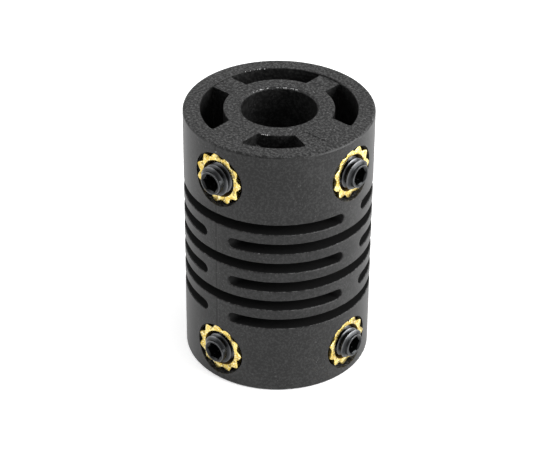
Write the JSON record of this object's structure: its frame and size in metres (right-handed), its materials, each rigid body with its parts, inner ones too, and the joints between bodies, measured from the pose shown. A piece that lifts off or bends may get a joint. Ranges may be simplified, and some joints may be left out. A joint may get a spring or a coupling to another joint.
{
  "type": "slotted shaft coupling",
  "caption": "Small one-piece slotted flexible shaft coupling in black plastic, with brass inserts and set screws clamping a shaft in each end.",
  "frame": {"origin": "centre of the lower bore's mouth, on the lower end face", "axes": "+Z along the shaft axis towards the upper hub; the front set screws point along -Y and the side set screws along +X"},
  "size_m": [0.0156, 0.0157, 0.022],
  "materials": {
    "glass_filled_plastic": "moulded, slightly speckled",
    "brass": "turned and knurled",
    "black_oxide_steel": "black oxide"
  },
  "bodies": {
    "lower_hub": {"lower_hub": "glass_filled_plastic", "lower_front_insert": "brass", "lower_side_insert": "brass"},
    "web_pair_1": {"flex_web_1": "glass_filled_plastic"},
    "ring_1": {"flex_ring_1": "glass_filled_plastic"},
    "web_pair_2": {"flex_web_2": "glass_filled_plastic"},
    "ring_2": {"flex_ring_2": "glass_filled_plastic"},
    "web_pair_3": {"flex_web_3": "glass_filled_plastic"},
    "ring_3": {"flex_ring_3": "glass_filled_plastic"},
    "web_pair_4": {"flex_web_4": "glass_filled_plastic"},
    "ring_4": {"flex_ring_4": "glass_filled_plastic"},
    "web_pair_5": {"flex_web_5": "glass_filled_plastic"},
    "ring_5": {"flex_ring_5": "glass_filled_plastic"},
    "web_pair_6": {"flex_web_6": "glass_filled_plastic"},
    "upper_hub": {"upper_hub": "glass_filled_plastic", "upper_front_insert": "brass", "upper_side_insert": "brass"},
    "lower_front_set_screw": {"lower_front_set_screw": "black_oxide_steel"},
    "lower_side_set_screw": {"lower_side_set_screw": "black_oxide_steel"},
    "upper_front_set_screw": {"upper_front_set_screw": "black_oxide_steel"},
    "upper_side_set_screw": {"upper_side_set_screw": "black_oxide_steel"}
  },
  "joints": [
    {"name": "tilt_about_y", "type": "hinge", "parent": "lower_hub", "child": "web_pair_1", "pos_m": [0, 0, 0.00658], "axis": [0, 1, 0], "range_deg": [-1.6, 1.6], "stiffness_Nm_per_rad": 0.08, "deforming": ["flex_web_1"]},
    {"name": "end_play", "type": "slide", "parent": "web_pair_1", "child": "ring_1", "axis": [0, 0, 1], "range_m": [-0.00006, 0.00006], "stiffness_N_per_m": 2000},
    {"name": "tilt_about_x", "type": "hinge", "parent": "ring_1", "child": "web_pair_2", "pos_m": [0, 0, 0.00834], "axis": [1, 0, 0], "range_deg": [-1.6, 1.6], "stiffness_Nm_per_rad": 0.08, "deforming": ["flex_web_2"]},
    {"name": "end_play_2", "type": "slide", "parent": "web_pair_2", "child": "ring_2", "axis": [0, 0, 1], "range_m": [-0.00006, 0.00006], "stiffness_N_per_m": 2000},
    {"name": "tilt_about_y_3", "type": "hinge", "parent": "ring_2", "child": "web_pair_3", "pos_m": [0, 0, 0.01012], "axis": [0, 1, 0], "range_deg": [-1.6, 1.6], "stiffness_Nm_per_rad": 0.08, "deforming": ["flex_web_3"]},
    {"name": "end_play_3", "type": "slide", "parent": "web_pair_3", "child": "ring_3", "axis": [0, 0, 1], "range_m": [-0.00006, 0.00006], "stiffness_N_per_m": 2000},
    {"name": "tilt_about_x_4", "type": "hinge", "parent": "ring_3", "child": "web_pair_4", "pos_m": [0, 0, 0.01188], "axis": [1, 0, 0], "range_deg": [-1.6, 1.6], "stiffness_Nm_per_rad": 0.08, "deforming": ["flex_web_4"]},
    {"name": "end_play_4", "type": "slide", "parent": "web_pair_4", "child": "ring_4", "axis": [0, 0, 1], "range_m": [-0.00006, 0.00006], "stiffness_N_per_m": 2000},
    {"name": "tilt_about_y_5", "type": "hinge", "parent": "ring_4", "child": "web_pair_5", "pos_m": [0, 0, 0.01366], "axis": [0, 1, 0], "range_deg": [-1.6, 1.6], "stiffness_Nm_per_rad": 0.08, "deforming": ["flex_web_5"]},
    {"name": "end_play_5", "type": "slide", "parent": "web_pair_5", "child": "ring_5", "axis": [0, 0, 1], "range_m": [-0.00006, 0.00006], "stiffness_N_per_m": 2000},
    {"name": "tilt_about_x_6", "type": "hinge", "parent": "ring_5", "child": "web_pair_6", "pos_m": [0, 0, 0.01542], "axis": [1, 0, 0], "range_deg": [-1.6, 1.6], "stiffness_Nm_per_rad": 0.08, "deforming": ["flex_web_6"]},
    {"name": "end_play_6", "type": "slide", "parent": "web_pair_6", "child": "upper_hub", "axis": [0, 0, 1], "range_m": [-0.00006, 0.00006], "stiffness_N_per_m": 2000},
    {"name": "lower_front_screw_travel", "type": "slide", "parent": "lower_hub", "child": "lower_front_set_screw", "axis": [0, -1, 0], "range_m": [-0.00094, 0.00245]},
    {"name": "lower_side_screw_travel", "type": "slide", "parent": "lower_hub", "child": "lower_side_set_screw", "axis": [1, 0, 0], "range_m": [-0.00109, 0.0023]},
    {"name": "upper_front_screw_travel", "type": "slide", "parent": "upper_hub", "child": "upper_front_set_screw", "axis": [0, -1, 0], "range_m": [-0.00119, 0.0022]},
    {"name": "upper_side_screw_travel", "type": "slide", "parent": "upper_hub", "child": "upper_side_set_screw", "axis": [1, 0, 0], "range_m": [-0.00109, 0.0023]}
  ],
  "couplings": [
    {"joint": "end_play_2", "follows": "end_play", "ratio": 1},
    {"joint": "tilt_about_y_3", "follows": "tilt_about_y", "ratio": 1},
    {"joint": "end_play_3", "follows": "end_play", "ratio": 1},
    {"joint": "tilt_about_x_4", "follows": "tilt_about_x", "ratio": 1},
    {"joint": "end_play_4", "follows": "end_play", "ratio": 1},
    {"joint": "tilt_about_y_5", "follows": "tilt_about_y", "ratio": 1},
    {"joint": "end_play_5", "follows": "end_play", "ratio": 1},
    {"joint": "tilt_about_x_6", "follows": "tilt_about_x", "ratio": 1},
    {"joint": "end_play_6", "follows": "end_play", "ratio": 1}
  ]
}
